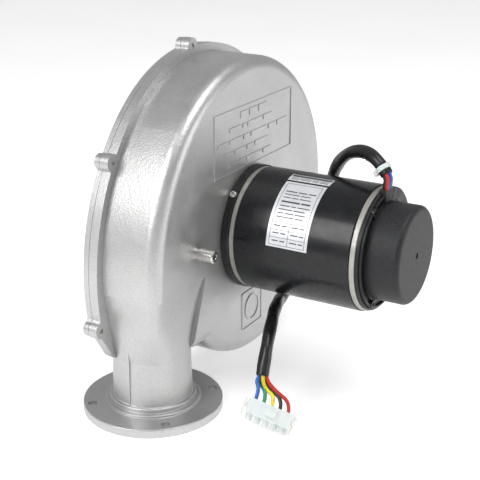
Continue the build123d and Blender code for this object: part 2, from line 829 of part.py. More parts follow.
with BuildPart() as bearing_balls:
    for middle in bearing_places:
        with Locations(facing_motor(middle)):
            with PolarLocations(ball_pitch_r, ball_count):
                Sphere(ball_r)
bearing_balls.part.label = "bearing_balls"
export_step(bearing_balls.part, "parts/bearing_balls.step")

with BuildPart() as bearing_cages:
    for middle in bearing_places:
        with BuildSketch(turning):
            ring_profile(ball_pitch_r - 0.8, ball_pitch_r + 0.8, middle - 3.3, middle + 3.3)
    revolve(axis=motor_axis)
    for middle in bearing_places:
        with Locations(facing_motor(middle)):
            with PolarLocations(ball_pitch_r, ball_count):
                Cylinder(ball_r + 0.06, 4, rotation=(0, 90, 0), mode=Mode.SUBTRACT)
bearing_cages.part.label = "bearing_cages"
export_step(bearing_cages.part, "parts/bearing_cages.step")

# ------------------------------------------------------------------ rotor
shaft_rear_y = -141.0
front_shoulder_y = front_bearing_y - bearing_t / 2
rear_shoulder_y = rear_bearing_y + bearing_t / 2

with BuildPart() as motor_shaft:
    with BuildSketch(turning):
        turned_section(
            (0, shaft_rear_y),
            (shaft_r - 0.5, shaft_rear_y),
            (shaft_r, shaft_rear_y + 0.5),
            (shaft_r, rear_shoulder_y),
            (7.5, rear_shoulder_y),
            (7.5, core_end_b),
            (8, core_end_b),
            (8, core_end_a),
            (7.5, core_end_a),
            (7.5, front_shoulder_y),
            (shaft_r, front_shoulder_y),
            (shaft_r, hub_back_y),
            (4, hub_back_y),
            (4, 6.6),
            (3.4, 7.2),
            (0, 7.2),
        )
    revolve(axis=motor_axis)
motor_shaft.part.label = "motor_shaft"
export_step(motor_shaft.part, "parts/motor_shaft.step")

with BuildPart() as rotor_core:
    with BuildSketch(facing_motor(core_end_a)):
        RegularPolygon((rotor_r - magnet_t) / cos(pi / pole_count), pole_count, rotation=180 / pole_count)
        Circle(8.02, mode=Mode.SUBTRACT)
        with PolarLocations(14.5, pole_count):
            Circle(2.6, mode=Mode.SUBTRACT)
    extrude(amount=core_len)
rotor_core.part.label = "rotor_core"
export_step(rotor_core.part, "parts/rotor_core.step")

with BuildPart() as rotor_magnets:
    with BuildSketch(facing_motor(core_end_a - 1)):
        Circle(rotor_r)
        flat_r = (rotor_r - magnet_t) / cos(pi / pole_count)
        RegularPolygon(flat_r, pole_count, rotation=180 / pole_count, mode=Mode.SUBTRACT)
        with PolarLocations(rotor_r - 1, pole_count, start_angle=180 / pole_count):
            Rectangle(8, 1.2, mode=Mode.SUBTRACT)
    extrude(amount=core_len - 2)
rotor_magnets.part.label = "rotor_magnets"
export_step(rotor_magnets.part, "parts/rotor_magnets.step")

with BuildPart() as sensor_magnet:
    with BuildSketch(facing_motor(shaft_rear_y)):
        Circle(6.5)
    extrude(amount=3)
    chamfer(sensor_magnet.edges(), 0.3)
sensor_magnet.part.label = "sensor_magnet"
export_step(sensor_magnet.part, "parts/sensor_magnet.step")

# ------------------------------------------------------------------ stator
with BuildPart() as stator_core:
    with BuildSketch(facing_motor(core_end_a)):
        Circle(core_r)
        Circle(37.5, mode=Mode.SUBTRACT)
        with PolarLocations(33, tooth_count):
            Rectangle(10, tooth_w)
        with BuildSketch(mode=Mode.PRIVATE) as shoes:
            Circle(stator_bore_r + 2.2)
            Circle(stator_bore_r, mode=Mode.SUBTRACT)
            with PolarLocations(stator_bore_r, tooth_count, start_angle=180 / tooth_count):
                Rectangle(8, 3, mode=Mode.SUBTRACT)
        add(shoes.sketch)
        for angle in through_bolt_angles:
            with Locations(polar(through_bolt_pcr, angle)):
                Circle(2.2, mode=Mode.SUBTRACT)
    extrude(amount=core_len)
stator_core.part.label = "stator_core"
export_step(stator_core.part, "parts/stator_core.step")

insulator_t = 1.2

with BuildPart() as slot_insulators:
    for near in (core_end_a + insulator_t, core_end_b):
        with BuildSketch(facing_motor(near)):
            Circle(39.5)
            Circle(37.5, mode=Mode.SUBTRACT)
            with PolarLocations(34, tooth_count):
                Rectangle(9, tooth_w)
            for angle in through_bolt_angles:
                with Locations(polar(through_bolt_pcr, angle)):
                    Circle(2.4, mode=Mode.SUBTRACT)
        extrude(amount=insulator_t)
slot_insulators.part.label = "slot_insulators"
export_step(slot_insulators.part, "parts/slot_insulators.step")

coil_t = 2.4
coil_end_t = 4.0
coil_open_w = tooth_w + 0.3
coil_open_len = core_len + 2 * insulator_t + 0.3

with BuildPart() as stator_windings:
    for tooth in range(tooth_count):
        outward = polar(1, tooth * 360 / tooth_count)
        tooth_root = Plane(
            origin=(axis_x + 30 * outward[0], core_mid_y, axis_z + 30 * outward[1]),
            x_dir=(0, 1, 0),
            z_dir=(outward[0], 0, outward[1]),
        )
        with BuildSketch(tooth_root):
            RectangleRounded(coil_open_len + 2 * coil_end_t, coil_open_w + 2 * coil_t, 2.2)
            Rectangle(coil_open_len, coil_open_w, mode=Mode.SUBTRACT)
        extrude(amount=6.8)
stator_windings.part.label = "stator_windings"
export_step(stator_windings.part, "parts/stator_windings.step")

# ------------------------------------------------------------------ rear end bracket
plate_back_y = -141.0
lead_places = [polar(30.5, a) for a in (165, 180, 195)]
board_y = -151.0
board_t = 1.6
board_r = 33.0
standoff_places = [polar(27.5, a) for a in (30, 150, 270)]
entry_angles = (29, 75)
notch_angles = (78, 98)
entry_y = -143.4
notch_floor_r = 38.0


def sector(inner_r, outer_r, start, end):
    """Ring sector between two directions around the motor axis."""
    with BuildSketch() as piece:
        with BuildLine():
            CenterArc((0, 0), outer_r, start, end - start)
            CenterArc((0, 0), inner_r, start, end - start)
            Line(polar(inner_r, start), polar(outer_r, start))
            Line(polar(inner_r, end), polar(outer_r, end))
        make_face()
    return piece.sketch


with BuildPart() as rear_end_bracket:
    with BuildSketch(turning):
        turned_section(
            (hub_bore_r, rear_shoulder_y + 0.5),
            (hub_bore_r + hub_wall, rear_shoulder_y + 0.5),
            (hub_bore_r + hub_wall, rear_bracket_y),
            (45.5, rear_bracket_y),
            (45.5, -140.6),
            (44.8, -141.0),
            (44.2, -141.0),
            (44.2, -140.0),
            (43.5, -140.0),
            (43.5, -142.4),
            (43.0, -142.9),
            (41.9, -142.9),
            (41.9, plate_back_y),
            (38.2, plate_back_y),
            (38.2, rear_face_y),
            (34.4, rear_face_y),
            (34.4, plate_back_y),
            (8, plate_back_y),
            (8, -136),
            (hub_bore_r, -136),
        )
    revolve(axis=motor_axis)
    # raised cable-entry block
    with BuildSketch(facing_motor(rear_bracket_y)):
        add(sector(38, 47, *entry_angles))
    extrude(amount=rear_bracket_y - entry_y)
    # notch for the grommet, bolt pockets, standoffs and the holes for the winding leads
    with BuildSketch(facing_motor(rear_bracket_y)):
        add(sector(notch_floor_r, 48, *notch_angles))
    extrude(amount=6, mode=Mode.SUBTRACT)
    with BuildSketch(facing_motor(plate_back_y)):
        for angle in through_bolt_angles:
            with Locations(polar(through_bolt_pcr, angle)):
                Circle(4.1)
    extrude(amount=6, mode=Mode.SUBTRACT)
    with BuildSketch(facing_motor(rear_bracket_y)):
        for angle in through_bolt_angles:
            with Locations(polar(through_bolt_pcr, angle)):
                Circle(2.2)
        with Locations(*lead_places):
            Circle(1.8)
    extrude(amount=4, mode=Mode.SUBTRACT)
    with BuildSketch(facing_motor(plate_back_y)):
        with Locations(*standoff_places):
            Circle(3)
    extrude(amount=plate_back_y - board_y)
    with BuildSketch(facing_motor(board_y)):
        with Locations(*standoff_places):
            Circle(1.25)
    extrude(amount=-6, mode=Mode.SUBTRACT)
rear_end_bracket.part.label = "rear_end_bracket"
export_step(rear_end_bracket.part, "parts/rear_end_bracket.step")

bolt_places = [polar(through_bolt_pcr, a) for a in through_bolt_angles]
through_bolts = socket_screws(bolt_places, plate_back_y, 3.5, 2.6, 1.95, drive_face_y - plate_back_y + 4.5, 1)
through_bolts.part.label = "through_bolts"
export_step(through_bolts.part, "parts/through_bolts.step")

with BuildPart() as wave_spring:
    with BuildSketch(turning):
        ring_profile(12.6, 15.6, -136, rear_bearing_y - bearing_t / 2)
    revolve(axis=motor_axis)
wave_spring.part.label = "wave_spring"
export_step(wave_spring.part, "parts/wave_spring.step")

with BuildPart() as cable_grommet:
    with BuildSketch(facing_motor(rear_bracket_y)):
        add(sector(notch_floor_r, 46.5, notch_angles[0] + 0.3, notch_angles[1] - 0.3))
    extrude(amount=5.6)
cable_grommet.part.label = "cable_grommet"
export_step(cable_grommet.part, "parts/cable_grommet.step")

# ------------------------------------------------------------------ electronics under the cap
cap_t = 2.3

with BuildPart() as electronics_cover:
    with BuildSketch(facing_motor(rear_face_y)):
        Circle(cap_r)
    extrude(amount=rear_face_y - cap_end_y)
    fillet(electronics_cover.faces().sort_by(Axis.Y)[0].edges(), 4)
    with BuildSketch(facing_motor(rear_face_y)):
        Circle(cap_r - cap_t)
    extrude(amount=rear_face_y - cap_end_y - cap_t, mode=Mode.SUBTRACT)
    with BuildSketch(facing_motor(cap_end_y)):
        Circle(2.4)
    extrude(amount=-0.7, mode=Mode.SUBTRACT)
electronics_cover.part.label = "electronics_cover"
export_step(electronics_cover.part, "parts/electronics_cover.step")

board_back_y = board_y - board_t

with BuildPart() as control_board:
    with BuildSketch(facing_motor(board_y)):
        Circle(board_r)
        with Locations((0, board_r)):
            Rectangle(26, 9, mode=Mode.SUBTRACT)
        with Locations(*standoff_places):
            Circle(1.4, mode=Mode.SUBTRACT)
        with Locations(*lead_places):
            Circle(0.9, mode=Mode.SUBTRACT)
    extrude(amount=board_t)
control_board.part.label = "control_board"
export_step(control_board.part, "parts/control_board.step")

with BuildPart() as board_capacitors:
    with BuildSketch(facing_motor(board_back_y)):
        with Locations((16, -14), (4, -21)):
            Circle(5)
    extrude(amount=11)
    fillet(board_capacitors.faces().sort_by(Axis.Y)[0:2].edges(), 0.8)
board_capacitors.part.label = "board_capacitors"
export_step(board_capacitors.part, "parts/board_capacitors.step")

with BuildPart() as power_module:
    with BuildSketch(facing_motor(board_back_y)):
        with Locations((-13, -9)):
            Rectangle(14, 22)
    extrude(amount=3.6)
    chamfer(power_module.faces().sort_by(Axis.Y)[0].edges(), 0.4)
power_module.part.label = "power_module"
export_step(power_module.part, "parts/power_module.step")

with BuildPart() as board_inductor:
    with BuildSketch(facing_motor(board_back_y)):
        with Locations((17, 6)):
            Circle(7)
            Circle(3, mode=Mode.SUBTRACT)
    extrude(amount=6.5)
    fillet(board_inductor.edges().filter_by(GeomType.CIRCLE).group_by(Axis.Y)[0], 1.5)
board_inductor.part.label = "board_inductor"
export_step(board_inductor.part, "parts/board_inductor.step")

with BuildPart() as board_chips:
    with BuildSketch(facing_motor(board_back_y)):
        with Locations((0, 6)):
            Rectangle(9, 9)
        with Locations((-16, 12)):
            Rectangle(5, 6)
        with Locations((2, -8)):
            Rectangle(6, 4)
    extrude(amount=1.4)
board_chips.part.label = "board_chips"
export_step(board_chips.part, "parts/board_chips.step")

with BuildPart() as wire_terminal_block:
    with BuildSketch(facing_motor(board_back_y)):
        with Locations((0, 22)):
            Rectangle(24, 8)
    extrude(amount=7)
    with BuildSketch(facing_motor(board_back_y - 7)):
        with GridLocations(4.6, 1, 5, 1):
            with Locations((0, 22)):
                Rectangle(3.2, 5, mode=Mode.ADD)
    extrude(amount=-3, mode=Mode.SUBTRACT)
wire_terminal_block.part.label = "wire_terminal_block"
export_step(wire_terminal_block.part, "parts/wire_terminal_block.step")

with BuildPart() as hall_sensors:
    with BuildSketch(facing_motor(board_y + 1.6)):
        with PolarLocations(9, 3, start_angle=90):
            Rectangle(3, 4)
    extrude(amount=1.6)
hall_sensors.part.label = "hall_sensors"
export_step(hall_sensors.part, "parts/hall_sensors.step")

board_screws = socket_screws(standoff_places, board_back_y, 2.3, 1.8, 1.2, board_t + 5, 1)
board_screws.part.label = "board_screws"
export_step(board_screws.part, "parts/board_screws.step")

with BuildPart() as winding_leads:
    with BuildSketch(facing_motor(core_end_b - insulator_t - coil_end_t - 0.2)):
        with Locations(*lead_places):
            Circle(1.1)
    extrude(amount=core_end_b - insulator_t - coil_end_t - 0.2 - board_y - 0.05)
winding_leads.part.label = "winding_leads"
export_step(winding_leads.part, "parts/winding_leads.step")

# ------------------------------------------------------------------ labels on the shell
label_t = 0.15


def shell_label(y_near, y_far, start, end):
    """Thin label wrapped on the shell between two directions."""
    with BuildPart() as label:
        with BuildSketch(facing_motor(y_near)):
            add(sector(motor_r, motor_r + label_t, start, end))
        extrude(amount=y_near - y_far)
    return label


rating_label = shell_label(-69, -102, 108, 173.5)
rating_label.part.label = "rating_label"
export_step(rating_label.part, "parts/rating_label.step")

strip_label = shell_label(-68.5, -102.5, 94, 105.5)
strip_label.part.label = "strip_label"
export_step(strip_label.part, "parts/strip_label.step")

# ------------------------------------------------------------------ cable
# Centreline of the sleeve: up out of the grommet, over, down beside the motor, under it and forward to the
# surface that the outlet flange stands on.
sleeve_route = [
    (97.5, -141.0, 176.5),
    (99.5, -134.0, 184.0),
    (106.0, -121.0, 189.0),
    (115.0, -104.0, 184.0),
    (129.0, -88.0, 170.0),
    (146.0, -75.0, 149.0),
    (155.0, -66.0, 122.0),
    (150.0, -59.0, 93.0),
    (131.0, -54.0, 70.0),
    (105.0, -54.0, 61.0),
    (78.0, -63.0, 65.0),
    (52.0, -73.0, 64.0),
    (28.0, -82.0, 56.0),
    (17.0, -84.5, 37.0),
]
grommet_face_r = 46.5
grommet_angle = 88.0
wire_rows = [(-3.2, -142.7), (0.0, -142.7), (3.2, -142.7), (-1.6, -140.0), (1.6, -140.0)]
wire_row_names = ["red", "blue", "green", "black", "yellow"]
plug_origin = Vector(8.8, -97.1, 19.4)  # middle of the connector's wire face
plug_axis = Vector(-0.643, 0.071, -0.763).normalized()  # from the wires to the mating face
plug_lean = Vector(0.336, -0.875, -0.348)  # the five ways run this way, square to plug_axis


def corner_radii(points):
    """As large an arc at each corner as its two runs allow."""
    radii = []
    for before, corner, after in zip(points, points[1:], points[2:]):
        run_in = Vector(*corner) - Vector(*before)
        run_out = Vector(*after) - Vector(*corner)
        half_turn = radians(run_in.get_angle(run_out)) / 2
        radii.append(0.45 * min(run_in.length, run_out.length) / tan(half_turn))
    return radii


def tube(points, diameter):
    """Round tube along straight runs joined by tangent arcs."""
    with BuildPart() as piece:
        with BuildLine() as path:
            FilletPolyline(*points, radius=corner_radii(points))
        with BuildSketch(Plane(origin=points[0], z_dir=Vector(*points[1]) - Vector(*points[0]))):
            Circle(diameter / 2)
        sweep()
    centreline = path.wires()[0]
    ratio = piece.part.volume / (centreline.length * pi * diameter**2 / 4)
    print(f"tube {diameter} mm, {centreline.length:.1f} mm long, volume / (section x length) {ratio:.4f}")
    print("  radii", [round(r, 1) for r in corner_radii(points)])
    return piece


cable_sleeve = tube(sleeve_route, sleeve_d)
cable_sleeve.part.label = "cable_sleeve"
export_step(cable_sleeve.part, "parts/cable_sleeve.step")



def across(origin, direction, row):
    """Plane square to a direction, with its local X as near to row as it can be."""
    z = direction.normalized()
    return Plane(origin=origin, x_dir=row - z * row.dot(z), z_dir=z)


plug_plane = across(plug_origin, plug_axis, plug_lean)
plug_row = plug_plane.x_dir
sleeve_first = Vector(*sleeve_route[0])
sleeve_last = Vector(*sleeve_route[-1])
start_dir = (Vector(*sleeve_route[1]) - sleeve_first).normalized()
end_dir = (sleeve_last - Vector(*sleeve_route[-2])).normalized()
sleeve_start = across(sleeve_first, start_dir, Vector(1, 0, 0))
sleeve_end = across(sleeve_last, end_dir, plug_row)
bundle_r = 2.9  # circle on which the five wires sit inside the sleeve
start_seats = {"red": 198, "blue": 270, "green": 342, "yellow": 54, "black": 126}
end_seats = {"blue": 162, "green": 234, "yellow": 90, "black": 306, "red": 18}
grommet_up = Vector(polar(1, grommet_angle)[0], 0, polar(1, grommet_angle)[1])
grommet_face = Vector(axis_x, 0, axis_z) + grommet_up * grommet_face_r
wire_depth = 3.5  # how far a wire enters its way in the connector


def wire(name):
    """One wire as it shows: from the grommet into the sleeve, and from the sleeve into the connector."""
    along, depth = wire_rows[wire_row_names.index(name)]
    leave = grommet_face + Vector(along, depth, 0)
    enter = sleeve_start.from_local_coords(Vector(*polar(bundle_r, start_seats[name])))
    emerge = sleeve_end.from_local_coords(Vector(*polar(bundle_r, end_seats[name])))
    side = wire_names.index(name) - 2  # ways to the side of the middle one
    way = plug_origin + plug_row * side * way_pitch
    first = [leave, leave + grommet_up * 3.5, enter - start_dir * 2.5, enter]
    fan = (end_dir * (4 - abs(side)) + plug_row * 1.6 * side).normalized()
    clear = emerge + end_dir * wire_d / 2 * sin(radians(end_dir.get_angle(fan)))  # outside the sleeve
    second = [clear, clear + fan * 3.6, way - plug_axis * 6, way + plug_axis * wire_depth]
    pieces = [tube([tuple(p) for p in points], wire_d) for points in (first, second)]
    with BuildPart() as both:
        for piece in pieces:
            add(piece.part)
    return both


wire_blue = wire("blue")
wire_blue.part.label = "wire_blue"
export_step(wire_blue.part, "parts/wire_blue.step")

wire_green = wire("green")
wire_green.part.label = "wire_green"
export_step(wire_green.part, "parts/wire_green.step")

wire_yellow = wire("yellow")
wire_yellow.part.label = "wire_yellow"
export_step(wire_yellow.part, "parts/wire_yellow.step")

wire_black = wire("black")
wire_black.part.label = "wire_black"
export_step(wire_black.part, "parts/wire_black.step")

wire_red = wire("red")
wire_red.part.label = "wire_red"
export_step(wire_red.part, "parts/wire_red.step")

tie_plane = sleeve_start.offset(3.4)

with BuildPart() as cable_tie:
    with BuildSketch(tie_plane):
        Circle(sleeve_d / 2 + 1.1)
        with Locations((0, sleeve_d / 2 + 1.6)):
            Rectangle(5, 3.6)
        Circle(sleeve_d / 2 + 0.05, mode=Mode.SUBTRACT)
    extrude(amount=3.4)
cable_tie.part.label = "cable_tie"
export_step(cable_tie.part, "parts/cable_tie.step")

# five-way connector
plug_w = 5 * way_pitch + 1.4
plug_h = 8.6
plug_body_len = 11.5
plug_len = 16.0
ear_t = 1.5
ear_gap = 1.6

with BuildPart() as connector_housing:
    with BuildSketch(plug_plane):
        RectangleRounded(plug_w, plug_h, 1)
    extrude(amount=plug_body_len)
    with BuildSketch(plug_plane.offset(plug_body_len)):
        with GridLocations(way_pitch, 1, 5, 1):
            Circle(2.6)
    extrude(amount=plug_len - plug_body_len)
    # side ears on short webs, and the locking ramp
    for side in (-1, 1):
        with BuildSketch(plug_plane.offset(1)):
            with Locations((side * (plug_w / 2 + ear_gap + ear_t / 2), 0)):
                Rectangle(ear_t, plug_h)
        extrude(amount=plug_body_len + 1)
        with BuildSketch(plug_plane.offset(4)):
            with Locations((side * (plug_w / 2 + ear_gap / 2 + 0.2), 0)):
                Rectangle(ear_gap + 0.6, plug_h - 2)
        extrude(amount=3)
    with BuildSketch(plug_plane.offset(3)):
        with Locations((0, plug_h / 2 + 0.6)):
            Rectangle(9, 1.4)
    extrude(amount=5)
    with BuildSketch(plug_plane):
        with GridLocations(way_pitch, 1, 5, 1):
            Circle(1.75)
    extrude(amount=plug_len, mode=Mode.SUBTRACT)
connector_housing.part.label = "connector_housing"
export_step(connector_housing.part, "parts/connector_housing.step")

with BuildPart() as connector_terminals:
    with BuildSketch(plug_plane.offset(wire_depth)):
        with GridLocations(way_pitch, 1, 5, 1):
            Circle(1.5)
            Circle(0.9, mode=Mode.SUBTRACT)
    extrude(amount=plug_len - wire_depth - 1)
connector_terminals.part.label = "connector_terminals"
export_step(connector_terminals.part, "parts/connector_terminals.step")
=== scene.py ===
import json
from math import cos, pi, radians, sin

import bpy
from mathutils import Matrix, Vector


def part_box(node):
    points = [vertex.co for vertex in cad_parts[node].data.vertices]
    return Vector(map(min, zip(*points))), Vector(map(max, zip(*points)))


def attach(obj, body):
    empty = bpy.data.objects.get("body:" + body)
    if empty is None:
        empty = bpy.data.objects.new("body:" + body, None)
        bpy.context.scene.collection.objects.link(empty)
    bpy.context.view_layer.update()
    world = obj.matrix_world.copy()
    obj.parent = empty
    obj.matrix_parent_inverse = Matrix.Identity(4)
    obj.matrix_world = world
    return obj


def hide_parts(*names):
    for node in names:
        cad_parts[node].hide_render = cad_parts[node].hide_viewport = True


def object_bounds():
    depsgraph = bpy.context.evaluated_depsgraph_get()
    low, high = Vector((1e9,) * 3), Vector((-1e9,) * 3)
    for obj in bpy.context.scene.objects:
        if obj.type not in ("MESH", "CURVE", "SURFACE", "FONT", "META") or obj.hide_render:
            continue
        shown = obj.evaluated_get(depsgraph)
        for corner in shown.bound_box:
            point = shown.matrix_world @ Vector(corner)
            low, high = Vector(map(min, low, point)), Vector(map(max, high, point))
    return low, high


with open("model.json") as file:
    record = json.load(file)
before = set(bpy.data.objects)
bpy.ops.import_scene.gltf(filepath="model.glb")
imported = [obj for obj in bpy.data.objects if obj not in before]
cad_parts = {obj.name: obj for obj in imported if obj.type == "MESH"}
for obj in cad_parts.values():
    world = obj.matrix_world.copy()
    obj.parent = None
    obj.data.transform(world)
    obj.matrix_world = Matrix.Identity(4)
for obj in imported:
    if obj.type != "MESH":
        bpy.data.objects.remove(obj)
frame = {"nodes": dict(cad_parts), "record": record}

# Combustion fan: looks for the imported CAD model. Metres; +Z up, motor towards -Y.
cad_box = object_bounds()
MM = 0.001
BODY = "housing"

# ------------------------------------------------------------------ places read from the frame
motor_low, motor_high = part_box("motor_shell")
axis_x = (motor_low.x + motor_high.x) / 2
axis_z = (motor_low.z + motor_high.z) / 2
motor_r = (motor_high.x - motor_low.x) / 2


def polar(radius, degrees):
    """X and Z steps from the motor axis, with the angle starting at +X and rising towards +Z."""
    return radius * cos(radians(degrees)), radius * sin(radians(degrees))


def around_motor(radius, degrees, y):
    """Point at a radius, angle and Y around the motor axis."""
    x, z = polar(radius, degrees)
    return Vector((axis_x + x, y, axis_z + z))


# ------------------------------------------------------------------ node helpers
class Paint:
    """A Principled material with a few short ways to add procedural detail to it."""

    def __init__(self, name, color, metallic=0.0, roughness=0.5, **sockets):
        self.material = bpy.data.materials.new(name)
        self.material.use_nodes = True
        self.tree = self.material.node_tree
        self.shader = self.tree.nodes["Principled BSDF"]
        self.color = color
        self.shader.inputs["Base Color"].default_value = (*color, 1)
        self.shader.inputs["Metallic"].default_value = metallic
        self.shader.inputs["Roughness"].default_value = roughness
        for socket, value in sockets.items():
            self.shader.inputs[socket.replace("_", " ").title()].default_value = value
        self.coords = self.node("ShaderNodeTexCoord").outputs["Object"]
        self.normal = None

    def node(self, kind, **settings):
        made = self.tree.nodes.new(kind)
        for key, value in settings.items():
            setattr(made, key, value)
        return made

    def link(self, source, target):
        self.tree.links.new(source, target)

    def math(self, operation, a, b=0.0):
        """Math node on sockets or numbers."""
        made = self.node("ShaderNodeMath", operation=operation)
        for socket, value in zip(made.inputs, (a, b)):
            if isinstance(value, (int, float)):
                socket.default_value = value
            else:
                self.link(value, socket)
        return made.outputs[0]

    def stretched(self, x, y, z):
        """Object coordinates scaled differently along each axis."""
        mapping = self.node("ShaderNodeMapping")
        mapping.inputs["Scale"].default_value = (x, y, z)
        self.link(self.coords, mapping.inputs["Vector"])
        return mapping.outputs["Vector"]

    def noise(self, scale, detail=3.0, vector=None):
        """Noise whose features are about 1 / scale metres across."""
        made = self.node("ShaderNodeTexNoise")
        made.inputs["Scale"].default_value = scale
        made.inputs["Detail"].default_value = detail
        self.link(vector or self.coords, made.inputs["Vector"])
        return made.outputs["Fac"]

    def cells(self, scale):
        """Distance to the nearest of many small scattered points."""
        made = self.node("ShaderNodeTexVoronoi")
        made.inputs["Scale"].default_value = scale
        self.link(self.coords, made.inputs["Vector"])
        return made.outputs["Distance"]

    def spread(self, source, low, high, start=0.3, end=0.7):
        """The source between start and end, mapped to low .. high."""
        made = self.node("ShaderNodeMapRange")
        for socket, value in zip(("From Min", "From Max", "To Min", "To Max"), (start, end, low, high)):
            made.inputs[socket].default_value = value
        self.link(source, made.inputs["Value"])
        return made.outputs["Result"]

    def tint(self, source, other, start=0.35, end=0.65):
        """Base colour that goes over to another one with the source."""
        mix = self.node("ShaderNodeMix", data_type="RGBA")
        self.link(self.spread(source, 0, 1, start, end), mix.inputs["Factor"])
        base = self.shader.inputs["Base Color"]
        if base.is_linked:
            self.link(base.links[0].from_socket, mix.inputs["A"])
        else:
            mix.inputs["A"].default_value = (*self.color, 1)
        mix.inputs["B"].default_value = (*other, 1)
        self.link(mix.outputs["Result"], base)
        return self

    def rough(self, source, low, high):
        self.link(self.spread(source, low, high), self.shader.inputs["Roughness"])
        return self

    def bump(self, source, height, strength=1.0):
        """Relief of a height in metres, on top of any relief added before."""
        made = self.node("ShaderNodeBump")
        made.inputs["Distance"].default_value = height
        made.inputs["Strength"].default_value = strength
        self.link(source, made.inputs["Height"])
        if self.normal:
            self.link(self.normal, made.inputs["Normal"])
        self.normal = made.outputs["Normal"]
        self.link(self.normal, self.shader.inputs["Normal"])
        return self

    def turned(self, pitch, height):
        """Fine grooves around the motor axis, as a lathe leaves them."""
        separate = self.node("ShaderNodeSeparateXYZ")
        self.link(self.coords, separate.inputs[0])
        x = self.math("SUBTRACT", separate.outputs["X"], axis_x)
        z = self.math("SUBTRACT", separate.outputs["Z"], axis_z)
        radius = self.math("SQRT", self.math("ADD", self.math("MULTIPLY", x, x), self.math("MULTIPLY", z, z)))
        place = self.math("ADD", radius, separate.outputs["Y"])
        wave = self.math("SINE", self.math("MULTIPLY", place, 2 * pi / pitch))
        return self.bump(wave, height)


# ------------------------------------------------------------------ materials
def cast_aluminium():
    """Blasted die-cast aluminium: soft grain, faint flow marks and small pits."""
    paint = Paint("cast_aluminium", (0.5, 0.5, 0.498), metallic=0.85, roughness=0.4)
    paint.tint(paint.noise(14, 4), (0.55, 0.55, 0.547))
    paint.tint(paint.noise(900, 3), (0.43, 0.43, 0.43), 0.45, 0.8)
    paint.rough(paint.noise(60, 3), 0.34, 0.46)
    paint.bump(paint.noise(40, 2), 0.0006, 0.3)
    paint.bump(paint.noise(900, 3), 0.0002, 0.7)
    return paint.bump(paint.cells(420), 0.0001, 0.4)


def machined_aluminium():
    paint = Paint("machined_aluminium", (0.64, 0.63, 0.61), metallic=1.0, roughness=0.3)
    paint.tint(paint.noise(80, 3), (0.56, 0.55, 0.53))
    paint.rough(paint.noise(120, 2), 0.2, 0.34)
    return paint.turned(0.00045, 0.000012)


def black_paint():
    """Gloss black enamel with a slight orange peel and dust."""
    paint = Paint(
        "black_enamel", (0.006, 0.0065, 0.008), roughness=0.3, coat_weight=0.15, coat_roughness=0.14
    )
    paint.shader.inputs["Specular IOR Level"].default_value = 0.3
    paint.tint(paint.noise(220, 4), (0.011, 0.0115, 0.013), 0.5, 0.8)
    paint.rough(paint.noise(90, 3), 0.22, 0.36)
    return paint.bump(paint.noise(380, 2), 0.00008, 0.35)


def black_bracket():
    paint = Paint("black_cast", (0.01, 0.01, 0.011), roughness=0.4)
    paint.shader.inputs["Specular IOR Level"].default_value = 0.3
    paint.tint(paint.noise(150, 3), (0.018, 0.018, 0.02))
    paint.rough(paint.noise(110, 3), 0.34, 0.5)
    return paint.bump(paint.noise(700, 3), 0.0001, 0.5)


def black_cap():
    """Moulded cap with a fine spark-eroded texture."""
    paint = Paint("black_cap", (0.011, 0.0115, 0.013), roughness=0.45)
    paint.shader.inputs["Specular IOR Level"].default_value = 0.35
    paint.tint(paint.noise(900, 3), (0.03, 0.031, 0.034), 0.45, 0.75)
    paint.rough(paint.noise(900, 2), 0.4, 0.58)
    return paint.bump(paint.noise(1000, 3), 0.0003, 0.9)


def plated_steel():
    paint = Paint("plated_steel", (0.56, 0.55, 0.52), metallic=1.0, roughness=0.3)
    paint.tint(paint.noise(260, 3), (0.45, 0.44, 0.4))
    paint.rough(paint.noise(400, 2), 0.24, 0.42)
    return paint.bump(paint.noise(1500, 2), 0.00003, 0.5)


def black_screw():
    """Blackened steel of the screws on the motor's rear."""
    paint = Paint("black_oxide", (0.012, 0.012, 0.013), metallic=0.3, roughness=0.38)
    paint.tint(paint.noise(400, 3), (0.03, 0.03, 0.032))
    return paint.bump(paint.noise(1500, 2), 0.00003, 0.5)


def end_ring():
    """Dull bare aluminium between the shell and the brackets."""
    paint = Paint("dull_aluminium", (0.46, 0.45, 0.42), metallic=0.8, roughness=0.46)
    paint.tint(paint.noise(120, 3), (0.38, 0.37, 0.34))
    paint.rough(paint.noise(240, 2), 0.4, 0.54)
    return paint.turned(0.00045, 0.00001)


def laminations():
    paint = Paint("laminations", (0.3, 0.31, 0.33), metallic=0.85, roughness=0.42)
    separate = paint.node("ShaderNodeSeparateXYZ")
    paint.link(paint.coords, separate.inputs[0])
    sheets = paint.math("SINE", paint.math("MULTIPLY", separate.outputs["Y"], 2 * pi / 0.0005))
    paint.tint(paint.noise(200, 2), (0.22, 0.22, 0.24))
    return paint.bump(sheets, 0.00004)


def magnet():
    paint = Paint("magnet", (0.14, 0.14, 0.15), metallic=0.5, roughness=0.45)
    paint.tint(paint.noise(300, 3), (0.2, 0.2, 0.21))
    return paint.bump(paint.noise(1200, 2), 0.00003)


def copper():
    paint = Paint("enamelled_copper", (0.55, 0.2, 0.08), metallic=0.9, roughness=0.3, coat_weight=0.4)
    paint.tint(paint.noise(240, 3), (0.42, 0.14, 0.05))
    return paint.bump(paint.noise(900, 2, paint.stretched(1, 0.25, 1)), 0.0002, 0.6)


def contact_brass():
    paint = Paint("contact_brass", (0.75, 0.56, 0.26), metallic=1.0, roughness=0.3)
    paint.tint(paint.noise(500, 2), (0.66, 0.47, 0.2))
    return paint.bump(paint.noise(1600, 2), 0.00002)


